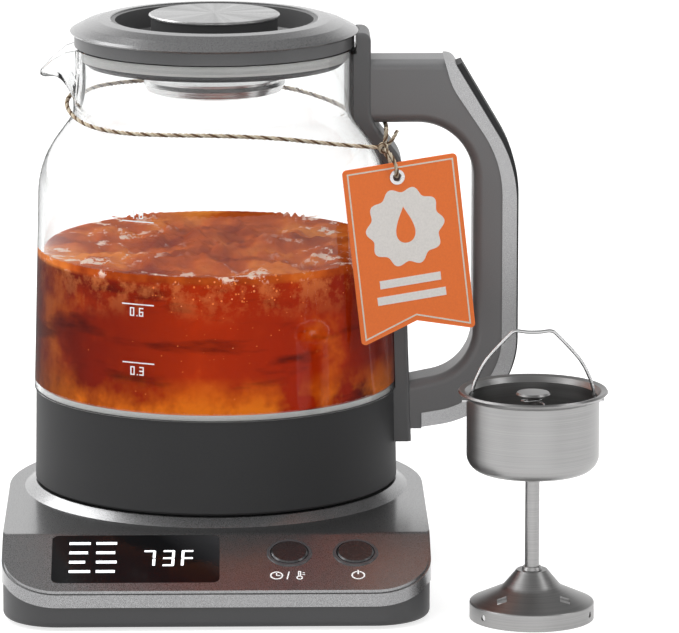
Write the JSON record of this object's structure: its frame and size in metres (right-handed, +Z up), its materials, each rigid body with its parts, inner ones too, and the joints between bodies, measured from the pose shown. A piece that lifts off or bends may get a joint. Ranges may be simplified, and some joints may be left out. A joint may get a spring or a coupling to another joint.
{
  "type": "electric tea maker",
  "caption": "Electric tea maker: glass jug with lid and long handle on a power base with display and buttons; wire-handled infuser and string-hung tag beside it.",
  "frame": {"origin": "on the worktop, on the jug's upright axis", "axes": "+Z up, -Y towards the control panel's front, +X towards the jug's handle"},
  "size_m": [0.2113, 0.1937, 0.1999],
  "materials": {
    "plinth": "matte",
    "shell": "metallic satin",
    "rubber": "matte",
    "window": "gloss",
    "module": "matte",
    "bezel": "satin",
    "button_metal": "radially brushed",
    "board": "satin",
    "brass": "polished",
    "steel": "brushed",
    "dark_plastic": "satin",
    "black_plastic": "satin",
    "glass": "clear",
    "silicone": "translucent matte",
    "trim": "metallic satin",
    "titanium": "brushed",
    "twine": "twisted fibre",
    "card": "printed card"
  },
  "bodies": {
    "base": {"base_plinth": "plinth", "base_deck": "shell", "foot_ring": "rubber", "front_feet": "rubber", "base_screws": "steel", "display_window": "window", "display_module": "module", "first_button_bezel": "bezel", "second_button_bezel": "bezel", "control_board": "board", "tact_switches": "black_plastic", "cord_gland": "rubber", "power_board": "board", "power_board_posts": "black_plastic", "connector_tower": "black_plastic", "base_contacts": "brass"},
    "left_button": {"first_button": "button_metal"},
    "right_button": {"second_button": "button_metal"},
    "collar": {"swivel_collar": "black_plastic"},
    "jug": {"jug_glass": "glass", "jug_skirt": "dark_plastic", "jug_bottom_cover": "black_plastic", "heating_plate": "steel", "plate_seal": "silicone", "heating_element": "steel", "temperature_probe": "steel", "thermal_cutout": "black_plastic", "jug_bottom_screws": "steel", "jug_connector": "black_plastic", "handle_spine": "dark_plastic", "handle_grip": "dark_plastic", "handle_screws": "steel", "handle_trim": "trim", "handle_back_insert": "dark_plastic", "twine_loop_tube": "twine", "twine_knot": "twine", "tag_string_tube": "twine", "twine_tails": "twine"},
    "lid": {"lid_ring": "dark_plastic", "lid_band": "black_plastic", "lid_dish": "dark_plastic", "lid_knob_stem": "dark_plastic", "lid_knob_cap": "steel", "lid_plug": "black_plastic", "lid_gasket": "silicone", "lid_core_cup": "steel"},
    "tag": {"swing_tag": "card", "tag_eyelet": "steel"},
    "infuser": {"infuser_bell": "titanium", "infuser_tube": "titanium", "tube_collar": "titanium", "infuser_basket": "titanium", "spring_seat": "titanium", "infuser_spring": "steel"},
    "bail": {"infuser_bail": "steel"},
    "infuser_cap": {"infuser_cap": "titanium"}
  },
  "joints": [
    {"name": "left_press", "type": "slide", "parent": "base", "child": "left_button", "axis": [0, 0.3665, -0.9304], "range_m": [0, 0.0008], "stiffness_N_per_m": 400},
    {"name": "right_press", "type": "slide", "parent": "base", "child": "right_button", "axis": [0, 0.3665, -0.9304], "range_m": [0, 0.0008], "stiffness_N_per_m": 400},
    {"name": "jug_turn", "type": "hinge", "parent": "base", "child": "collar", "pos_m": [0, 0, 0.0305], "axis": [0, 0, 1], "continuous": true},
    {"name": "jug_lift", "type": "slide", "parent": "collar", "child": "jug", "axis": [0, 0, 1], "range_m": [0, 0.12]},
    {"name": "lid_lift", "type": "slide", "parent": "jug", "child": "lid", "axis": [0, 0, 1], "range_m": [0, 0.06]},
    {"name": "tag_swing", "type": "hinge", "parent": "jug", "child": "tag", "pos_m": [0.0643, -0.0415, 0.1474], "axis": [0.2198, -0.9755, 0], "range_deg": [0, 30]},
    {"name": "infuser_lift", "type": "slide", "parent": "base", "child": "infuser", "axis": [0, 0, 1], "range_m": [0, 0.08]},
    {"name": "bail_swing", "type": "hinge", "parent": "infuser", "child": "bail", "pos_m": [0.1102, -0.092, 0.0776], "axis": [1, 0, 0], "range_deg": [-60, 60]},
    {"name": "cap_press", "type": "slide", "parent": "infuser", "child": "infuser_cap", "axis": [0, 0, -1], "range_m": [0, 0.004], "stiffness_N_per_m": 200, "deforming": ["infuser_spring"]}
  ]
}
